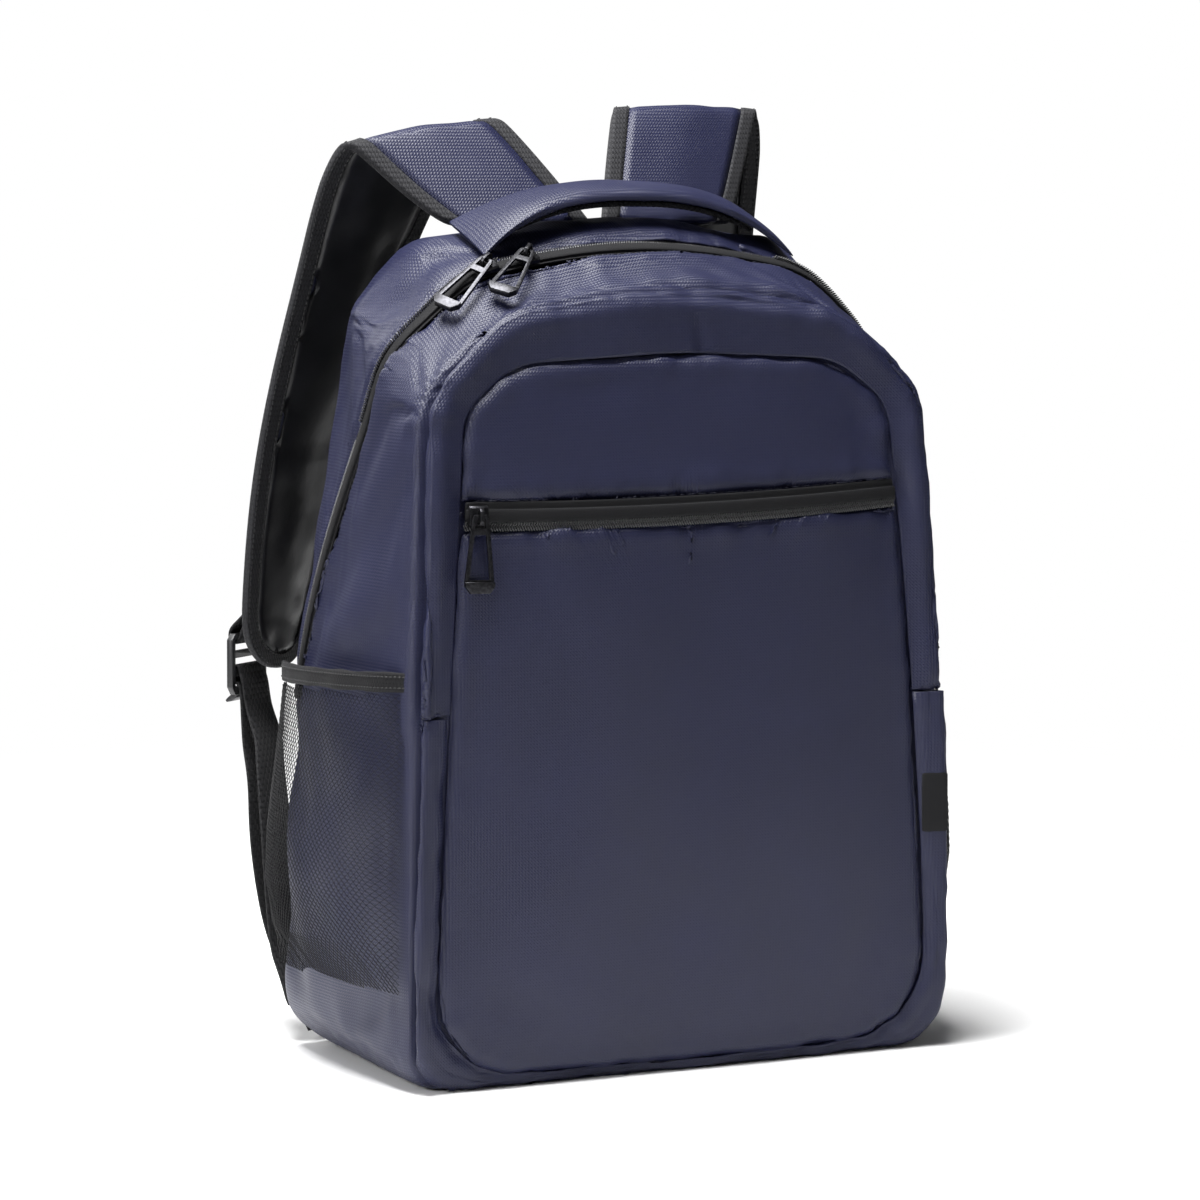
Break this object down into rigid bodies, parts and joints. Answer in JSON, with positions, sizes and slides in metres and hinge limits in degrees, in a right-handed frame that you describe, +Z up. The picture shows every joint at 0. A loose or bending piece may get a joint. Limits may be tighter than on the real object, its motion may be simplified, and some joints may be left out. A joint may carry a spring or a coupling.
{
  "type": "laptop backpack",
  "caption": "Soft arched laptop backpack with a zipped main compartment, zipped front pocket, net side pockets, padded shoulder straps, top handle and ladder-lock webbing.",
  "frame": {"origin": "middle of the base, on the surface that the bag stands on", "axes": "+Z up, -Y is the front with the pocket, +Y the side worn against the back, +X the viewer's right when the front is seen"},
  "size_m": [0.3592, 0.2514, 0.482],
  "materials": {
    "navy_nylon": "fine diamond-weave nylon with a soft sheen",
    "zip_tape": "woven zip tape with a moulded coil",
    "satin_lining": "wrinkled black satin",
    "spacer_mesh": "quilted black spacer mesh",
    "grosgrain_binding": "ribbed charcoal binding tape",
    "black_webbing": "flat woven webbing",
    "knitted_net": "open black net with small diamond cells",
    "elastic_hem": "elastic hem with stitch rows",
    "label_cloth": "bare folded cloth tag",
    "slider_metal": "dark gunmetal lacquer, worn at the edges",
    "moulded_plastic": "black moulded plastic"
  },
  "bodies": {
    "bag": {"main_compartment": "navy_nylon", "main_zip": "zip_tape", "front_gusset_upper": "navy_nylon", "front_gusset_lower": "navy_nylon", "front_panel_upper": "navy_nylon", "front_panel_lower": "navy_nylon", "front_zip": "zip_tape", "main_zip_left_slider": "slider_metal", "main_zip_right_slider": "slider_metal", "front_zip_slider": "slider_metal", "back_pad": "spacer_mesh", "side_label": "label_cloth", "handle_cover": "navy_nylon", "handle_pad": "satin_lining", "left_strap_outer": "navy_nylon", "left_strap_lining": "satin_lining", "left_strap_binding": "grosgrain_binding", "left_lock": "moulded_plastic", "left_lock_loop": "black_webbing", "left_webbing": "black_webbing", "left_net": "knitted_net", "left_net_hem": "elastic_hem", "right_strap_outer": "navy_nylon", "right_strap_lining": "satin_lining", "right_strap_binding": "grosgrain_binding", "right_lock": "moulded_plastic", "right_lock_loop": "black_webbing", "right_webbing": "black_webbing", "right_net": "knitted_net", "right_net_hem": "elastic_hem"},
    "main_zip_left_pull": {"main_zip_left_pull": "slider_metal"},
    "main_zip_right_pull": {"main_zip_right_pull": "slider_metal"},
    "front_zip_pull": {"front_zip_pull": "slider_metal"}
  },
  "joints": [
    {"name": "main_zip_left_pull_swing", "type": "hinge", "parent": "bag", "child": "main_zip_left_pull", "pos_m": [-0.08645, -0.02626, 0.40243], "axis": [-0.521, 0.7881, 0.3278], "range_deg": [0, 140]},
    {"name": "main_zip_right_pull_swing", "type": "hinge", "parent": "bag", "child": "main_zip_right_pull", "pos_m": [-0.0638, -0.02638, 0.40681], "axis": [-0.7138, 0.651, 0.2581], "range_deg": [0, 120]},
    {"name": "front_zip_pull_swing", "type": "hinge", "parent": "bag", "child": "front_zip_pull", "pos_m": [-0.11433, -0.0777, 0.2807], "axis": [-0.9931, 0.1154, 0.0188], "range_deg": [0, 150]}
  ]
}
